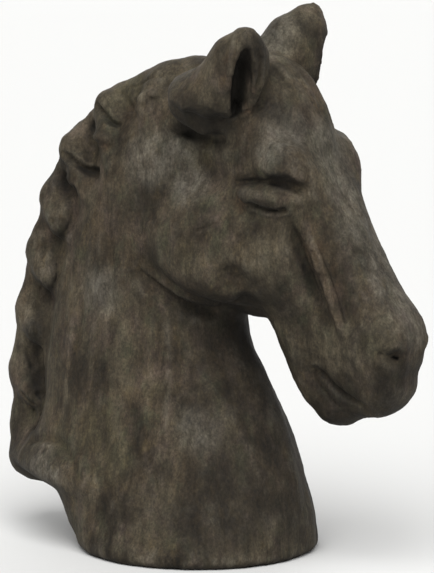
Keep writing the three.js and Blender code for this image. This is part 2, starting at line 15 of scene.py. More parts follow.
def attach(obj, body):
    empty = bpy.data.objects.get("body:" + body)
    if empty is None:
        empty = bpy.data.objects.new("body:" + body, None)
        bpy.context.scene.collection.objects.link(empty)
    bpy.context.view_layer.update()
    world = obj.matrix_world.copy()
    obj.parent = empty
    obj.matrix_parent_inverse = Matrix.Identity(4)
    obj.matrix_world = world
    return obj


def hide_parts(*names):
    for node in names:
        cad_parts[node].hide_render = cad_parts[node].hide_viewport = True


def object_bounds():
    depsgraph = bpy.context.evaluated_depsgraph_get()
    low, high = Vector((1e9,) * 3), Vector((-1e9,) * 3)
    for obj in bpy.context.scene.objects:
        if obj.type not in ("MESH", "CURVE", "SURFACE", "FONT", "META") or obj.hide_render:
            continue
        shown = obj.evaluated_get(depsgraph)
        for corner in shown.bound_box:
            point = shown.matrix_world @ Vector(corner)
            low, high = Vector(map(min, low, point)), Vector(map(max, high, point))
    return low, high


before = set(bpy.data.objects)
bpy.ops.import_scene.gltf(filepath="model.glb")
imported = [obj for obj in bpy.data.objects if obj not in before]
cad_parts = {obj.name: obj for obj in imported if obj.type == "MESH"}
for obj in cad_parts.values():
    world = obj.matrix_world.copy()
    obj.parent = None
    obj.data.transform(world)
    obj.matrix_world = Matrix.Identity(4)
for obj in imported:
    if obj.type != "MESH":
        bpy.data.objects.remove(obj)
cad_low, cad_high = [np.array(corner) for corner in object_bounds()]

# The block: one piece of driftwood, carved all round and sawn off flat under the neck. Its surface is the
# solid's own, remeshed evenly and relaxed until the solid's flat facets are gone. Where the knife work is
# small the faces are halved.
MM = 0.001
SIDES = (-1, 1)
EVEN = 3.25 * MM
FACET_ROUNDS = 10
FINE_ROUNDS = 3
SHRINK = 0.5
SWELL = -0.52
SOLID = "horse_head"
# The stretches with small work, as middles and radii on the left side, in millimetres.
SMALL_WORK = [
    (96, 52, 310, 38), (146, 40, 250, 24), (160, 36, 218, 17), (150, 26, 152, 32), (202, 20, 186, 20),
    (72, 58, 412, 46), (80, 60, 448, 28), (40, 62, 375, 34), (-60, 28, 374, 40), (-105, 28, 330, 36),
    (110, 10, 390, 24), (50, 42, 225, 24), (0, 44, 230, 26), (54, 57, 285, 22), (-150, 24, 130, 34),
]

bpy.ops.object.select_all(action="DESELECT")
carving = bpy.data.objects.new("driftwood_carving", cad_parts[SOLID].data.copy())
bpy.context.scene.collection.objects.link(carving)
bpy.context.view_layer.objects.active = carving
carving.select_set(True)
bpy.ops.object.mode_set(mode="EDIT")
bpy.ops.mesh.select_all(action="SELECT")
bpy.ops.mesh.remove_doubles(threshold=0.001 * MM)
bpy.ops.object.mode_set(mode="OBJECT")

remesh = carving.modifiers.new("even_faces", "REMESH")
remesh.mode = "VOXEL"
remesh.voxel_size = EVEN
bpy.ops.object.modifier_apply(modifier=remesh.name)


def rows(source, name, width=3, kind=np.float32):
    """One row of numbers for each item of the source."""
    flat = np.empty(len(source) * width, kind)
    source.foreach_get(name, flat)
    return flat.reshape(-1, width)


def places():
    """The carving's points, one row each."""
    return rows(carving.data.vertices, "co").astype(float)


def facing():
    """The way each point of the carving faces."""
    return rows(carving.data.vertex_normals, "vector").astype(float)


def put(points):
    """Moves the carving's points to these places."""
    carving.data.vertices.foreach_set("co", points.astype(np.float32).ravel())
    carving.data.update()


def edges():
    """The two points of each edge."""
    return rows(carving.data.edges, "vertices", 2, np.int32)


def around(values, ends):
    """The mean of each point's neighbours."""
    size = len(values)
    start, end = ends.T
    count = np.bincount(ends.ravel(), minlength=size)
    columns = [
        np.bincount(start, column[end], size) + np.bincount(end, column[start], size)
        for column in values.T
    ]
    return np.stack(columns, 1) / count[:, None]


def relax(rounds, share=1.0, swell=SWELL):
    """Evens the surface out without shrinking it: each smoothing step is followed by one that swells."""
    points = places()
    ends = edges()
    share = np.broadcast_to(share, len(points))[:, None]
    for _ in range(rounds):
        for step in (SHRINK, swell):
            points = points + step * share * (around(points, ends) - points)
    put(points)


def near(centre, radius, points):
    """1 at the centre, falling to 0 at the radius."""
    apart = np.linalg.norm(points - np.array(centre) * MM, axis=1) / (radius * MM)
    return np.clip(1 - apart ** 2, 0, 1)


def share_of(zones, points):
    """How deep each point lies in any of the zones, on either side: 1 in a middle, 0 outside."""
    share = np.zeros(len(points))
    for x, y, z, radius in zones:
        for side in SIDES:
            share = np.maximum(share, near((x, side * y, z), radius, points))
    return share


relax(FACET_ROUNDS)
chosen = share_of(SMALL_WORK, rows(carving.data.polygons, "center")) > 0
carving.data.polygons.foreach_set("select", chosen)
bpy.ops.object.mode_set(mode="EDIT")
bpy.ops.mesh.subdivide(number_cuts=1)
bpy.ops.object.mode_set(mode="OBJECT")
relax(FINE_ROUNDS)

# The knife. A cut follows a smooth line through a few points laid on the surface. It sinks the surface in,
# or with a negative depth raises it, and runs out to nothing at its two ends. All points are given on the
# left side, in millimetres, and all work is done on both sides.
STEP = 1.0 * MM
# The powers that shape a cut across its width, at its two ends, and a dent from middle to rim.
SHOULDER = 1.3
RUN_OUT = 0.5
DENT_SHOULDER = 1.5


def curve(points):
    """A smooth line through the points, with a point about every millimetre."""
    points = np.array(points, float)
    padded = np.vstack([2 * points[0] - points[1], points, 2 * points[-1] - points[-2]])
    line = []
    for a, b, c, d in zip(padded, padded[1:], padded[2:], padded[3:]):
        count = max(2, int(np.linalg.norm(c - b) / STEP))
        t = np.linspace(0, 1, count, endpoint=False)[:, None]
        line.append(b + 0.5 * t * (c - a + t * (2 * a - 5 * b + 4 * c - d + t * (3 * (b - c) + d - a))))
    return np.vstack(line + [points[-1:]])


def surface():
    """The carving as it is now, for finding places on it and for rays."""
    mesh = carving.data
    return BVHTree.FromPolygons([v.co for v in mesh.vertices], [p.vertices for p in mesh.polygons])


# The lines are laid on the surface as it was before the first cut.
bare = surface()


def laid(points):
    """The points, in millimetres, moved to the nearest place on the surface."""
    return np.array([bare.find_nearest(Vector(p) * MM)[0] for p in points])


def cut(points, wide, deep, ends=(0.15, 0.15)):
    """One cut. wide is its half width, or two: above and below a line that runs forward, which is before
    and behind a line that runs down. ends are the shares of its length over which it starts and runs out."""
    above, below = np.broadcast_to(wide, 2) * MM
    widest = max(above, below)
    where = places()
    normals = facing()
    push = np.zeros(len(where))
    for side in SIDES:
        line = curve(laid([(x, side * y, z) for x, y, z in points]))
        beside = (where > line.min(0) - widest) & (where < line.max(0) + widest)
        picked = np.flatnonzero(beside.all(1))
        if not len(picked):
            continue
        gaps = where[picked][:, None] - line[None]
        apart = np.einsum("ijk,ijk->ij", gaps, gaps)
        nearest = apart.argmin(1)
        run = np.gradient(line, axis=0)[nearest]
        across = np.cross(normals[picked], run)
        offset = np.einsum("ij,ij->i", gaps[np.arange(len(picked)), nearest], across)
        share = np.sqrt(apart.min(1)) / np.where(offset * side < 0, above, below)
        along = nearest / (len(line) - 1)
        depth = np.clip(1 - share, 0, 1) ** SHOULDER * (1 + share)
        for run_out, gone in zip(ends, (along, 1 - along)):
            if run_out:
                depth *= np.clip(gone / run_out, 0, 1) ** RUN_OUT
        push[picked] = np.maximum(push[picked], depth)
    put(where - normals * (push * deep * MM)[:, None])


def dent(centre, radius, deep):
    """A round hollow, or with a negative depth a swelling."""
    where = places()
    push = share_of([(*centre, radius)], where) ** DENT_SHOULDER
    put(where - facing() * (push * deep * MM)[:, None])


def within(zones, points):
    """1 over the inner part of the zones, falling to 0 at their edge."""
    return np.minimum(1, 2 * share_of(zones, points))


def soften(zones, rounds, swell=-0.45):
    """Wears away small forms in the zones. A weaker swell wears more off, and 0 fills hollows too."""
    relax(rounds, within(zones, places()), swell)


# The eyes are shut: a deep fold under the brow, one full lid below it and the slot under the lid. They are
# cut with a knife into the rough almond of the solid.
FOLD = [(62, 44, 322), (79, 47, 326), (92, 49, 327.5), (106, 51, 328), (117, 48, 326), (127, 43, 321)]
LID = [(70, 50, 316), (82, 54, 315), (96, 55, 314), (110, 53, 312)]
SLOT = [(81, 55, 308), (88, 56, 306), (98, 54, 303.5), (108, 53, 302.5), (117, 50, 305)]
# The lid, the fold and the deep shadow in the fold's inner corner.
soften([(94, 52, 309, 24)], 14)
cut(LID, 9, -2.4)
cut(FOLD, (2, 4), 2.2)
cut([(98, 50, 329), (112, 50, 329), (124, 46, 324), (131, 41, 317)], 8, 2.0)
# The swelling of the brow, the slot, and the fine lines at the lid's outer corner and below it.
cut([(84, 54, 338), (104, 56, 338), (120, 54, 336)], 13, -1.2)
cut(SLOT, (3.0, 4.6), 5.0, ends=(0.2, 0.1))
cut([(66, 49, 316), (72, 52, 312), (79, 54, 308), (86, 55, 304)], (1.6, 2.6), 1.8)
cut([(64, 49, 309), (74, 51, 301), (86, 52, 296)], (2.5, 4), 0.9)
dent((122, 46, 306), 7, 1.6)

# The long bone of the face: a welt from the inner corner of the eye to a rounded end above the nostril,
# with a gouged groove behind it, a fine one in front and a scratch along its top.
WELT = [(123, 43, 294), (132, 42, 276), (143, 43, 256), (150, 41, 235), (156, 40, 216), (160, 39, 207)]
# The welt: the old ridge is worn down, then the grooves are cut and the new one is raised.
soften([(140, 42, 272, 20), (151, 40, 240, 20), (160, 38, 212, 18)], 16, swell=-0.38)
BEHIND = [(117, 45, 294), (124, 38, 270), (132, 35, 248), (140, 34, 227), (147, 33, 210), (154, 34, 199)]
cut(BEHIND, (2.5, 6), 2.8)
BEFORE = [(130, 42, 298), (139, 40, 278), (148, 37, 258), (156, 35, 237), (162, 35, 220), (166, 37, 207)]
cut(BEFORE, (5, 2), 2.0)
cut([(x + 2, y, z + 1) for x, y, z in WELT] + [(164, 38, 199)], 8.5, -1.7, ends=(0.3, 0.1))
cut([(x + 1, y, z + 1) for x, y, z in WELT[:5]], 1.9, 1.3)
cut([(170, 26, 262), (184, 26, 238), (196, 24, 218)], 5, 1.0)

# The mouth: a long cut that starts in a small curl, a second fine one that leaves the same curl and runs
# below the lip, and the lip between them. The corner is worn soft first.
MOUTH = [(134, 25, 169), (141, 24, 165), (150, 24, 157), (159, 23, 151), (168, 22, 147), (180, 24, 141)]
LIP = [(135, 26, 163), (144, 26, 155), (155, 24, 146), (165, 23, 140)]
# The two cuts, the lip and the curl at the corner.
soften([(124, 27, 172, 16), (140, 26, 158, 18), (156, 24, 147, 18), (168, 22, 140, 12)], 30, swell=-0.25)
cut(MOUTH, (1.8, 4), 2.8, ends=(0.08, 0.4))
cut([(134, 25, 170), (131, 26, 165), (134, 26, 156), (142, 25, 148), (152, 22, 138)], (1.6, 2.4), 1.8)
cut(LIP, 3, -0.8)
cut([(127, 27, 172), (132, 26, 175), (138, 25, 172)], 3, -1.4)

# The nostrils: small slits, each under a low swelling, with the hollow of the solid worn away round them
# and a shallow groove behind.
soften([(200, 21, 186, 11)], 26, swell=-0.1)
dent((196, 25, 190), 9, -1.3)
cut([(199, 21, 186), (202, 19, 184.5), (205, 17, 183)], (1.6, 2.2), 3.0, ends=(0.3, 0.3))
cut([(188, 28, 190), (195, 26, 196), (204, 20, 196), (210, 14, 190)], 4, -1.0)
cut([(184, 30, 205), (180, 32, 188), (184, 30, 170)], 6, 1.0)

# The cheek: a round disc whose lower edge overhangs the neck, with a three-cornered hollow where the jaw
# leaves it, and a few old scratches. The jaw in front of it is drawn out to meet the cheek.


def grab(centre, radius, move):
    """Drags the place round the centre along, in millimetres, the same way on both sides."""
    x, y, z = centre
    where = places()
    pull = np.zeros(where.shape)
    for side in SIDES:
        drag = np.array((move[0], side * move[1], move[2])) * MM
        pull += near((x, side * y, z), radius, where)[:, None] * drag
    put(where + pull)


# The lower edge, from the back of the cheek to the throat, and the roll above it.
EDGE = [(-33, 46, 246), (-24, 45, 238), (-11, 44, 230), (7, 42, 221), (22, 35, 216), (36, 24, 213)]
soften([(-42, 46, 262, 20), (-34, 46, 250, 18)], 40, swell=0)
cut(EDGE, (1.5, 14), 5.5, ends=(0.6, 0.15))
cut([(x, y, z + 6) for x, y, z in EDGE[2:]], 8, -2.6, ends=(0.5, 0.15))
# The jaw, and the hollow between it and the cheek.
grab((108, 43, 230), 26, (0, 6, -1))
cut([(34, 30, 219), (50, 38, 219), (63, 44, 222), (78, 45, 228)], (2, 5), 2.2)
cut([(58, 58, 251), (66, 57, 253), (74, 56, 252)], (1.5, 3), 1.6)
soften([(103, 48, 243, 20), (114, 41, 240, 18)], 50, swell=0)
dent((74, 43, 223), 12, 3.6)
# Scratches.
cut([(-37, 44, 318), (-28, 46, 306), (-21, 47, 294), (-18, 50, 284)], 8, 1.8)
cut([(30, 60, 281), (41, 59, 285), (54, 57, 291)], (1.5, 2.5), 1.6)
cut([(77, 54, 292), (88, 54, 284), (100, 52, 278)], 2.0, 1.2)
cut([(-47, 48, 262), (-34, 48, 269), (-17, 52, 274)], 3.0, 0.8)

# The ears: a broad leaf folded round a narrow hollow. The inner wall and the leaf's foot are drawn into
# place, and the knife deepens the fold to a slit that runs out below the ear, and undercuts the foot.
# The inner wall and the hollow.
grab((76, 47, 424), 15, (4, 5, 0))
grab((67, 43, 408), 17, (5, 7, 0))
soften([(78, 50, 428, 13), (71, 46, 414, 14), (67, 44, 400, 13)], 30, swell=0)
cut([(90, 57, 438), (91, 52, 426), (88, 49, 412), (84, 50, 400)], (3.5, 5.5), 3.6, ends=(0.2, 0.3))
soften([(91, 54, 430, 10), (88, 50, 414, 10)], 6, swell=-0.3)
# The outer rim, the slit and the front rim.
cut([(77, 62, 451), (75, 67, 442), (75, 70, 432), (74, 71, 419), (73, 70, 409)], 2.6, -1.2)
cut([(70, 66, 444), (69, 72, 430), (68, 73, 415), (66, 71, 402)], 3.5, 1.2)
EAR_SLIT = [(64, 42, 417), (62, 40, 403), (63, 43, 391), (63, 48, 380), (63, 56, 371), (54, 52, 365)]
cut(EAR_SLIT, (2.5, 3), 4.5, ends=(0.25, 0.1))
cut([(96, 50, 424), (94, 47, 412), (88, 46, 397), (78, 46, 384)], 3, -1.4, ends=(0.3, 0.2))
cut([(69, 47, 373), (78, 46, 379), (85, 42, 386), (92, 38, 396)], 2, 1.6)
cut([(71, 46, 391), (75, 49, 383)], 4, -1.4)
# The leaf's foot and the undercut below it.
grab((24, 64, 374), 22, (0, -3, 4))
grab((44, 64, 370), 22, (0, -3, 8))
grab((60, 58, 370), 16, (0, -2, 5))
UNDERCUT = [(-4, 40, 362), (12, 38, 361), (28, 37, 360), (42, 38, 361), (54, 42, 363)]
cut(UNDERCUT, (8, 6), 5.0, ends=(0.25, 0.2))
soften([(18, 62, 382, 16), (42, 62, 378, 16), (46, 44, 362, 12)], 8, swell=-0.3)
cut([(-8, 41, 353), (8, 40, 349), (24, 36, 350), (39, 38, 354)], (3, 5), 1.2)

# The forelock: a flat lock between the ears that ends in a point on the forehead, carved a little proud of
# the brow, with a line along each side of it and shallow marks beside it.
FORELOCK = [(80, 16, 421), (91, 15, 415), (101, 14, 405), (109, 14, 395), (116, 13, 384), (122, 8, 372)]
cut(FORELOCK, 4, -1.4, ends=(0.15, 0.5))
cut([(x - 2, y + 6, z - 2) for x, y, z in FORELOCK], (3, 4), 1.6)
cut([(x + 1, y - 9, z + 1) for x, y, z in FORELOCK], 4, 1.2, ends=(0.15, 0.5))
# Marks beside it, and the low swelling and hollow above the brow.
cut([(92, 30, 412), (98, 31, 396), (103, 32, 380)], 3, 1.0)
cut([(100, 53, 355), (113, 46, 354), (124, 37, 350)], 6, -1.4)
cut([(98, 42, 372), (112, 36, 368), (122, 26, 362)], 7, 1.4)

# The mane: great locks near the ears that fold over each other with dark cuts under them, a soft one behind
# the ear, and lower down a worn strip of short bent locks that the weather has almost levelled.
# First the worn strip and the valley beside it are evened out and filled.
WORN_STRIP = [(-160, 20, 214, 20), (-152, 24, 186, 24), (-152, 25, 160, 26), (-153, 25, 132, 26),
              (-152, 26, 108, 20)]
soften(WORN_STRIP, 20, swell=-0.15)
soften([(-118, 28, 300, 20), (-128, 28, 272, 20), (-138, 27, 244, 20)], 16, swell=-0.2)
cut([(-150, 26, 190), (-149, 27, 168), (-150, 28, 146), (-148, 30, 124)], 14, -3.0)
cut([(-104, 28, 308), (-116, 22, 288), (-126, 24, 262), (-135, 20, 234), (-140, 22, 206)], 13, -4.5)
# The crest behind the ears.
cut([(-62, 14, 391), (-36, 22, 402), (-21, 21, 406), (-3, 20, 412), (10, 18, 416)], (2, 4), 2.0)
cut([(-58, 20, 384), (-40, 33, 388), (-26, 36, 393), (-8, 33, 401)], 7, -2.0)
cut([(-34, 39, 377), (-28, 38, 382), (-26, 32, 388)], 6, 3.0)
# The upper great lock and the one below it, each with the dark cut under it.
cut([(-89, 22, 378), (-80, 28, 372), (-69, 29, 365), (-60, 26, 361)], (2.5, 6), 4.5)
cut([(-74, 18, 390), (-66, 18, 386), (-58, 20, 379), (-50, 28, 372)], 3, 1.6)
cut([(-65, 23, 364), (-56, 24, 370), (-41, 34, 379)], 4, -2.0)
cut([(-113, 20, 350), (-100, 20, 348), (-80, 32, 350), (-63, 36, 350)], 5, -2.2)
cut([(-124, 22, 334), (-110, 29, 331), (-101, 29, 327), (-90, 27, 322), (-80, 32, 322)], (2.5, 8), 5.0)
cut([(-128, 18, 321), (-112, 33, 317), (-104, 35, 309)], 7, 2.2)
cut([(-78, 34, 339), (-59, 35, 345), (-41, 37, 355), (-24, 40, 361)], (3, 6), 1.2)
soften([(-100, 14, 358, 12), (-101, 14, 350, 10), (-130, 15, 316, 10)], 40, swell=0)
# Pits and bent lines in the worn strip.
dent((-131, 32, 274), 5.5, 4.0)
cut([(-145, 17, 256), (-144, 23, 243), (-141, 28, 232)], 3, 2.6)
cut([(-144, 28, 220), (-152, 18, 210)], 3, 2.0)
for pit in [(-152, 22, 196), (-150, 24, 180), (-149, 26, 170)]:
    dent(pit, 6, 2.6)
cut([(-168, 20, 160), (-160, 21, 150), (-154, 22, 142)], (3, 4), 2.4)
cut([(-150, 26, 146), (-149, 27, 134), (-150, 26, 118)], (6, 5), 3.0)
cut([(-166, 20, 122), (-160, 22, 114), (-154, 24, 108)], (2, 3), 2.0)
cut([(-149, 28, 104), (-147, 31, 94), (-152, 28, 86)], (3, 3), 2.4)
cut([(-150, 14, 262), (-158, 14, 240), (-164, 12, 216)], 3, -1.2)
# The soft edge where the mane meets the neck.
soften([(-140, 32, 188, 16), (-141, 33, 166, 16), (-141, 35, 144, 16), (-138, 40, 122, 16)], 20, swell=0)
STRIP_EDGE = [(-97, 30, 318), (-116, 20, 290), (-126, 25, 262), (-136, 18, 232), (-141, 22, 200),
              (-143, 25, 170), (-144, 28, 140), (-138, 40, 112), (-127, 56, 90)]
cut(STRIP_EDGE, (6, 5), 0.8)

# The ledge that closes the mane: a smooth worn shelf, with a crease above it where the mane and the neck
# come to an end.
SHELF = [(-118, 66, 70, 30), (-96, 76, 62, 28), (-134, 58, 66, 26)]
soften(SHELF, 24, swell=-0.35)
SHELF_CREASE = [(-150, 44, 82), (-136, 52, 86), (-116, 60, 89), (-94, 70, 86), (-78, 79, 72), (-68, 84, 56)]
cut(SHELF_CREASE, (9, 3), 3.4, ends=(0.1, 0.4))

# The neck: long muscles that run down from the cheek and the mane, and a flat plane in front that starts
# below the throat. Old drying cracks open in the foot.
# The muscles.
cut([(-71, 45, 272), (-70, 49, 235), (-70, 54, 200), (-71, 59, 165)], 7, -1.8)
cut([(-58, 46, 276), (-58, 49, 240), (-58, 53, 205)], 5, 1.6)
cut([(-86, 38, 280), (-88, 42, 240), (-88, 48, 200), (-88, 54, 160)], 6, 1.4)
cut([(-100, 38, 262), (-104, 41, 228), (-106, 46, 190)], 6, -1.2)
cut([(-12, 45, 226), (-9, 52, 185), (-6, 60, 152), (-7, 66, 122)], 4, 1.6)
cut([(-2, 46, 212), (2, 54, 180), (6, 61, 146), (9, 70, 100)], 6, -1.6)
# The plane in front, hollowed a little along its length.
NECK_PLANE = [(12, 42, 198), (29, 40, 169), (48, 38, 144), (64, 35, 121), (77, 32, 98), (87, 31, 71),
              (93, 31, 40)]
cut([(x + 5, y - 10, z + 3) for x, y, z in NECK_PLANE], (20, 18), 2.6)
# The cracks.
LONG_CRACK = [(-10, 69, 112), (-8, 72, 103), (-2, 75, 87), (5, 78, 72), (11, 83, 55), (16, 92, 32)]
cut(LONG_CRACK, 2.6, 2.4, ends=(0.3, 0.3))
cut([(50, 59, 85), (56, 60, 65), (63, 65, 45), (69, 69, 21)], 2.2, 1.8, ends=(0.3, 0.3))
cut([(-48, 82, 74), (-35, 86, 59), (-23, 90, 48), (-13, 93, 32)], 5, 1.4)
cut([(-22, 88, 53), (-16, 93, 37), (-7, 99, 18)], 2.0, 1.4, ends=(0.3, 0.2))
cut([(30, 88, 60), (32, 92, 40), (34, 96, 14)], 2.0, 1.4, ends=(0.3, 0))
cut([(48, 80, 58), (50, 84, 36), (51, 88, 10)], 1.8, 1.2, ends=(0.3, 0))

# The worked surface: shallow flats left by the gouge and long soft ripples that follow the grain, which
# years of weather have rounded off. The ledge is worn almost smooth.
FLATS = 26 * MM
FLATS_RISE = 0.9 * MM
FLATS_MIDDLE = 0.4
RIPPLES = (13 * MM, 13 * MM, 90 * MM)
RIPPLES_RISE = 0.9 * MM
PITS = 7 * MM
PITS_RISE = 0.35 * MM
LEDGE_CALM = 0.8
where = places()
normals = facing()
calm = LEDGE_CALM * within(SHELF, where)
lift = np.zeros(len(where))
for i, point in enumerate(where):
    p = Vector(point)
    flats = noise.voronoi(p / FLATS)[0][0] - FLATS_MIDDLE
    ripples = noise.noise(Vector(c / size for c, size in zip(point, RIPPLES)))
    pits = noise.turbulence(p / PITS, 3, False)
    lift[i] = FLATS_RISE * flats + RIPPLES_RISE * ripples + PITS_RISE * pits
put(where + normals * (lift * (1 - calm))[:, None])

# The sawn underside stays flat, and nothing stands proud of the block.
SAWN = 0.8 * MM
where = places()
where[:, 2] = np.where(where[:, 2] < SAWN, 0, where[:, 2])
put(np.clip(where, cad_low, cad_high))

# The finish of bare driftwood. Rain, sun and handling have left it grey brown, dark with dirt and painted
# shade in the hollows and rubbed lighter on the ridges, with fine upright grain and open pores. Painted shade
# also darkens what faces the ground and the shaded places listed below.
# The rays that look for open air from each point, and how much one counts that is stopped at its full reach.
RAYS = 20
RAY_START = 0.4 * MM
RAY_REACH = 70 * MM
FAR_SHARE = 0.4
# How widely a point is compared with the surface round it, and how fast wear grows as it stands proud.
WEAR_ROUNDS = 6
WEAR_GAIN = 1.2


def save(name, values):
    """Keeps one number for each point, for the material to read."""
    attribute = carving.data.attributes.new(name, "FLOAT", "POINT")
    attribute.data.foreach_set("value", np.asarray(values, np.float32))


def shelter():
    """How much of the open air each point misses: 0 in the open, 1 in a deep hollow."""
    tree = surface()
    golden = math.pi * (3 - math.sqrt(5))
    rays = []
    for k in range(RAYS):
        up = math.sqrt(1 - (k + 0.5) / RAYS)
        flat = math.sqrt(1 - up * up)
        rays.append(Vector((flat * math.cos(k * golden), flat * math.sin(k * golden), up)))
    missed = np.zeros(len(carving.data.vertices))
    for i, (vertex, normal) in enumerate(zip(carving.data.vertices, carving.data.vertex_normals)):
        turn = normal.vector.to_track_quat("Z", "Y")
        start = vertex.co + normal.vector * RAY_START
        for ray in rays:
            distance = tree.ray_cast(start, turn @ ray, RAY_REACH)[3]
            if distance is not None:
                missed[i] += 1 - (1 - FAR_SHARE) * distance / RAY_REACH
    return missed / RAYS


ends = edges()
hollow = shelter()
# The hollow share darkens the wood below: dirt and painted shade where the open air is blocked.
save("hollow", (hollow + around(hollow[:, None], ends)[:, 0]) / 2)
points = places()
even = points
for _ in range(WEAR_ROUNDS):
    even = around(even, ends)
proud = np.einsum("ij,ij->i", points - even, facing()) / MM
save("worn", np.clip(proud * WEAR_GAIN, 0, 1))
# The upward facing lets the material paint shade on what faces the ground.
save("skyward", facing()[:, 2])

# The stains and painted shade, as middles and radii: bleached on the forehead, temples and nose, painted
# shade on the throat, lips, nostrils and under the ears, green low on the neck, damp in front with painted
# shade on the nose and below the eye, dry in the sun, and rubbed red by hands.
STAINS_AND_SHADE = {
    "bleached": [
        (106, 36, 367, 26), (100, 50, 353, 20), (128, 0, 350, 34), (142, 0, 319, 30), (158, 0, 287, 34),
        (175, 0, 259, 32), (192, 0, 231, 30), (211, 0, 207, 22), (-22, 43, 336, 32), (2, 41, 345, 28),
        (18, 43, 317, 24), (36, 57, 113, 26), (57, 21, 440, 30), (-68, 50, 222, 26), (-118, 68, 66, 26),
        (-104, 76, 60, 20),
    ],
    # Painted shade on the throat, the neck's front, lips, nostrils, the eye fold, the ear's hollow and its
    # leaf's underside.
    "shadowed": [
        (20, 62, 372, 22), (44, 62, 370, 22), (58, 56, 370, 16), (89, 52, 428, 10), (87, 49, 414, 10),
        (43, 0, 191, 44), (53, 0, 166, 46), (71, 0, 135, 50), (87, 0, 94, 52), (98, 0, 51, 50),
        (22, 34, 208, 24), (74, 43, 222, 15), (30, 30, 200, 26), (42, 73, 375, 16), (54, 68, 374, 14),
        (28, 68, 376, 14), (36, 70, 376, 24), (58, 64, 378, 18), (202, 19, 184, 7), (201, 20, 168, 22),
        (153, 20, 145, 30), (140, 18, 131, 28), (-27, 46, 300, 22), (96, 36, 385, 18), (-150, 26, 134, 22),
        (-149, 26, 176, 18), (-150, 34, 86, 12), (-138, 44, 90, 12), (86, 50, 424, 14), (92, 56, 438, 14),
        (58, 62, 40, 46), (84, 40, 60, 40), (40, 45, 176, 26), (36, 68, 372, 22), (37, 18, 201, 26),
        (32, 27, 189, 26), (196, 24, 159, 16), (112, 50, 328, 14), (52, 59, 72, 34),
    ],
    "mossy": [
        (-54, 72, 106, 30), (-40, 79, 83, 26), (26, 63, 258, 22), (-5, 62, 144, 14), (186, 37, 196, 14),
        (24, 38, 347, 20), (-99, 62, 92, 20), (-60, 20, 392, 22),
    ],
    # Damp, and painted shade on the side of the nose, below the eye and on the cheek.
    "damp_and_shade": [
        (20, 80, 40, 66), (75, 50, 60, 52), (30, 45, 190, 40), (60, 40, 130, 48), (94, 52, 428, 18),
        (196, 26, 160, 26), (96, 36, 388, 36), (30, 55, 362, 30), (104, 52, 300, 24), (78, 56, 316, 20),
        (98, 54, 312, 22), (60, 60, 330, 24), (140, 43, 262, 14), (154, 40, 228, 12), (154, 34, 284, 20),
        (162, 32, 256, 18), (90, 40, 392, 24), (152, 25, 292, 16), (164, 28, 264, 16), (174, 31, 236, 16),
        (92, 35, 392, 16), (103, 30, 384, 14), (186, 28, 159, 18),
    ],
    "dry": [
        (170, 34, 186, 34), (188, 30, 204, 24), (-168, 20, 165, 36), (95, 52, 262, 28), (70, 66, 446, 20),
        (45, 62, 425, 20), (150, 36, 180, 26), (-20, 20, 405, 34), (78, 26, 445, 26), (69, 12, 430, 20),
        (-80, 20, 388, 30), (-120, 15, 335, 26),
    ],
    "rubbed": [
        (-73, 37, 346, 11), (76, 70, 428, 12), (73, 70, 411, 12), (139, 42, 272, 16), (152, 40, 239, 16),
        (72, 52, 307, 10), (76, 50, 385, 9), (202, 19, 185, 6), (-52, 23, 372, 12), (132, 42, 288, 14),
        (146, 42, 256, 14), (156, 40, 216, 12),
    ],
}
for name, spots in STAINS_AND_SHADE.items():
    save(name, share_of(spots, points))

# The colours of the wood, from the dirt and painted shade in the hollows to the driest ridge.
# Near black: the dirt in the checks, and painted shade under the carving and in its hollows.
GRIME_AND_SHADE = (0.005, 0.004, 0.0025)
# The tone of the painted shade on the throat, lips, nostrils and under the ears.
SHADOW_TONE = (0.011, 0.0085, 0.0055)
DARK = (0.021, 0.0155, 0.009)
BROWN = (0.051, 0.0375, 0.0225)
GREY = (0.061, 0.050, 0.032)
MOSS = (0.050, 0.043, 0.022)
SAGE = (0.046, 0.045, 0.026)
LILAC = (0.067, 0.049, 0.038)
RED = (0.054, 0.034, 0.019)
OCHRE = (0.085, 0.062, 0.030)
STRAW = (0.097, 0.082, 0.053)
PALE = (0.126, 0.117, 0.096)
# The cloudy patches over the brown: each pattern's scale, stretch, detail, roughness and bend, the span of
# the pattern in which it comes up, its greatest share and its colour.
PATCHES = [
    (34, (1, 1, 0.5), 5, 0.65, 0.5, 0.42, 0.64, 1.0, GREY),
    (44, (1.1, 1, 0.6), 6, 0.7, 0.0, 0.50, 0.68, 0.7, LILAC),
    (52, (1, 1.2, 0.6), 6, 0.7, 0.0, 0.52, 0.68, 0.7, SAGE),
    (64, (1, 0.9, 0.6), 6, 0.7, 0.0, 0.58, 0.70, 0.5, OCHRE),
]
# The colour of each kind of stain and of painted shade, with its least and greatest share as the blotches
# vary it.
STAIN_AND_SHADE_COLOURS = {
    "dry": (STRAW, 0.2, 0.55),
    "mossy": (MOSS, 0.25, 0.7),
    "bleached": (PALE, 0.15, 0.60),
    "damp_and_shade": (DARK, 0.15, 0.5),
    "shadowed": (SHADOW_TONE, 0.4, 0.85),
    "rubbed": (RED, 0.1, 0.8),
}
# How much the grain darkens and lightens the wood, and the greatest shares of wear, rain runs, dirt in the
# checks, painted shade on what faces down, and dirt with painted shade in the hollows.
CONTRAST = 0.28
STREAK_CONTRAST = 0.14
WORN_SHARE = 0.2
RUNS_TOP = 0.30
RUNS_FULL = 0.14
RUNS_SHARE = 0.8
CHECK_SHARE = 0.35
UNDERSIDE_SHADE_SHARE = 0.7
HOLLOW_SPAN = (0.10, 0.48)
HOLLOW_SHARE = 0.94
SMOOTHEST = 0.72
ROUGHEST = 0.92
SHINE = 0.25
BUMP = 0.6


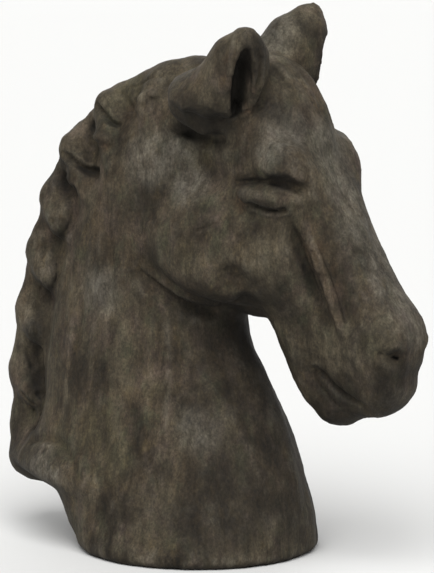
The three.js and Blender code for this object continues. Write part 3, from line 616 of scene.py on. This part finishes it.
def driftwood():
    """The carving's one material."""
    material = bpy.data.materials.new("weathered_driftwood")
    material.use_nodes = True
    tree = material.node_tree
    shader = tree.nodes["Principled BSDF"]
    place = tree.nodes.new("ShaderNodeTexCoord").outputs["Object"]

    def wire(value, socket):
        """Links the socket to another, or sets it to a plain value."""
        if isinstance(value, bpy.types.NodeSocket):
            tree.links.new(value, socket)
        else:
            socket.default_value = value

    def mottle(scale, stretch=(1, 1, 1), detail=3.0, rough=0.55, bend=0.0):
        """A cloudy pattern, drawn out along each axis whose stretch is under 1."""
        mapping = tree.nodes.new("ShaderNodeMapping")
        mapping.inputs["Scale"].default_value = stretch
        wire(place, mapping.inputs["Vector"])
        made = tree.nodes.new("ShaderNodeTexNoise")
        wire(mapping.outputs["Vector"], made.inputs["Vector"])
        made.inputs["Scale"].default_value = scale
        made.inputs["Detail"].default_value = detail
        made.inputs["Roughness"].default_value = rough
        made.inputs["Distortion"].default_value = bend
        return made.outputs["Fac"]

    def spread(value, low, high, to_low=0.0, to_high=1.0):
        """Stretches the span from low to high over the span from to_low to to_high, and stops at its ends."""
        made = tree.nodes.new("ShaderNodeMapRange")
        for name, given in (("Value", value), ("From Min", low), ("From Max", high),
                            ("To Min", to_low), ("To Max", to_high)):
            wire(given, made.inputs[name])
        return made.outputs["Result"]

    def work(kind, a, b):
        """One sum of two values."""
        made = tree.nodes.new("ShaderNodeMath")
        made.operation = kind
        wire(a, made.inputs[0])
        wire(b, made.inputs[1])
        return made.outputs[0]

    def blend(share, a, b, kind="MIX"):
        """Lays the second colour over the first."""
        made = tree.nodes.new("ShaderNodeMix")
        made.data_type = "RGBA"
        made.blend_type = kind
        for socket, given in ((made.inputs[0], share), (made.inputs[6], a), (made.inputs[7], b)):
            wire(given if not isinstance(given, tuple) else (*given, 1), socket)
        return made.outputs[2]

    def kept(name):
        """The number that each point keeps under this name."""
        made = tree.nodes.new("ShaderNodeAttribute")
        made.attribute_name = name
        return made.outputs["Fac"]

    def shade(colour, pattern, low, high, change=CONTRAST):
        """Darkens the colour where the pattern is low and lightens it where the pattern is high."""
        dull = (1 - change,) * 3
        bright = (1 + change,) * 3
        return blend(1.0, colour, blend(spread(pattern, low, high), dull, bright), "MULTIPLY")

    blotch = mottle(75, (1, 1, 0.6), 6, 0.7, 0.4)
    clouds = mottle(38, (1, 1, 0.7), 4, 0.6)
    streaks = mottle(330, (1, 1, 0.1), 4, 0.65)
    runs = mottle(170, (1, 1, 0.07), 4, 0.65)
    crackle = mottle(210, (1, 1, 0.6), 4, 0.7, 0.3)
    speckle = mottle(420, (1, 1, 0.8), 5, 0.75)
    fine = work("ADD", mottle(620, (1, 1, 0.6), 2, 0.7), crackle)

    colour = blend(spread(mottle(19, (1, 1, 0.7), 5, 0.6), 0.32, 0.64), DARK, BROWN)
    for scale, stretch, detail, rough, bend, low, high, most, tint in PATCHES:
        patch = spread(mottle(scale, stretch, detail, rough, bend), low, high, 0, most)
        colour = blend(patch, colour, tint)
    for name, (tint, least, most) in STAIN_AND_SHADE_COLOURS.items():
        colour = blend(work("MULTIPLY", kept(name), spread(blotch, 0.32, 0.66, least, most)), colour, tint)
    colour = blend(work("MULTIPLY", kept("worn"), spread(blotch, 0.4, 0.6, 0, WORN_SHARE)), colour, PALE)

    # The grain and the pores, and low on the neck the dark runs that rain leaves.
    colour = shade(colour, fine, 0.75, 1.25)
    colour = shade(colour, speckle, 0.34, 0.66)
    colour = shade(colour, streaks, 0.30, 0.70, STREAK_CONTRAST)
    colour = shade(colour, blotch, 0.34, 0.66)
    colour = shade(colour, clouds, 0.36, 0.64)
    height = tree.nodes.new("ShaderNodeSeparateXYZ")
    wire(place, height.inputs[0])
    low_down = spread(height.outputs["Z"], RUNS_TOP, RUNS_FULL, 0, RUNS_SHARE)
    colour = blend(low_down, colour, shade(colour, runs, 0.34, 0.66))

    # Dirt in the drying checks, painted shade on what faces the ground, and dirt with painted shade in the
    # hollows.
    checks = mottle(120, (1, 1, 0.07), 3, 0.6)
    colour = blend(spread(checks, 0.63, 0.69, 0, CHECK_SHARE), colour, GRIME_AND_SHADE)
    colour = blend(spread(kept("skyward"), -0.1, -0.8, 0, UNDERSIDE_SHADE_SHARE), colour, GRIME_AND_SHADE)
    colour = blend(spread(kept("hollow"), *HOLLOW_SPAN, 0, HOLLOW_SHARE), colour, GRIME_AND_SHADE)
    wire(colour, shader.inputs["Base Color"])
    wire(spread(crackle, 0.3, 0.7, SMOOTHEST, ROUGHEST), shader.inputs["Roughness"])
    shader.inputs["Specular IOR Level"].default_value = SHINE
    bump = tree.nodes.new("ShaderNodeBump")
    bump.inputs["Strength"].default_value = BUMP
    bump.inputs["Distance"].default_value = BUMP * MM
    wire(work("ADD", fine, speckle), bump.inputs["Height"])
    wire(bump.outputs["Normal"], shader.inputs["Normal"])
    return material


carving.data.materials.clear()
carving.data.materials.append(driftwood())
for face in carving.data.polygons:
    face.use_smooth = True
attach(carving, "root")
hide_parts(SOLID)

# The floor: a plain sheet of pale matt paper, far wider than the picture.
FLOOR_HALF = 30.0
PAPER_COLOUR = (0.68, 0.68, 0.67, 1)
PAPER_ROUGHNESS = 0.95
bpy.ops.object.select_all(action="DESELECT")
bpy.ops.mesh.primitive_plane_add(size=2 * FLOOR_HALF)
floor = bpy.context.object
floor.name = "floor"
paper = bpy.data.materials.new("pale_paper")
paper.use_nodes = True
paper.node_tree.nodes["Principled BSDF"].inputs["Base Color"].default_value = PAPER_COLOUR
paper.node_tree.nodes["Principled BSDF"].inputs["Roughness"].default_value = PAPER_ROUGHNESS
floor.data.materials.append(paper)

# Soft studio light: a broad lamp high above and in front, a weaker one behind on the far side, and pale
# air all round.
AIR = 0.42


def hang(name, strength, spread_degrees, aim):
    """A broad lamp that shines from the side that aim points to."""
    light = bpy.data.lights.new(name, "SUN")
    light.energy = strength
    light.angle = math.radians(spread_degrees)
    lamp = bpy.data.objects.new(name, light)
    bpy.context.scene.collection.objects.link(lamp)
    lamp.rotation_euler = Vector(aim).to_track_quat("Z", "Y").to_euler()


hang("key_lamp", 3.0, 50, (0.30, -0.50, 1.0))
hang("fill_lamp", 1.3, 60, (-0.45, 0.80, 0.35))
world = bpy.data.worlds.new("studio")
world.use_nodes = True
world.node_tree.nodes["Background"].inputs["Color"].default_value = (1, 1, 1, 1)
world.node_tree.nodes["Background"].inputs["Strength"].default_value = AIR
bpy.context.scene.world = world
bpy.context.scene.view_settings.view_transform = "Standard"

# The camera stands a little in front of the horse's right side and looks slightly down.
CAMERA_TURN = math.radians(32)
CAMERA_RISE = math.radians(9)
CAMERA_AWAY = 3.6
CAMERA_AIM = Vector((0.0175, 0, 0.2257))
LENS_MM = 267
camera_data = bpy.data.cameras.new("camera")
camera_data.lens = LENS_MM
camera = bpy.data.objects.new("camera", camera_data)
bpy.context.scene.collection.objects.link(camera)
level = math.cos(CAMERA_RISE)
away = Vector((math.sin(CAMERA_TURN) * level, -math.cos(CAMERA_TURN) * level, math.sin(CAMERA_RISE)))
camera.location = CAMERA_AIM + away * CAMERA_AWAY
camera.rotation_euler = away.to_track_quat("Z", "Y").to_euler()
bpy.context.scene.camera = camera
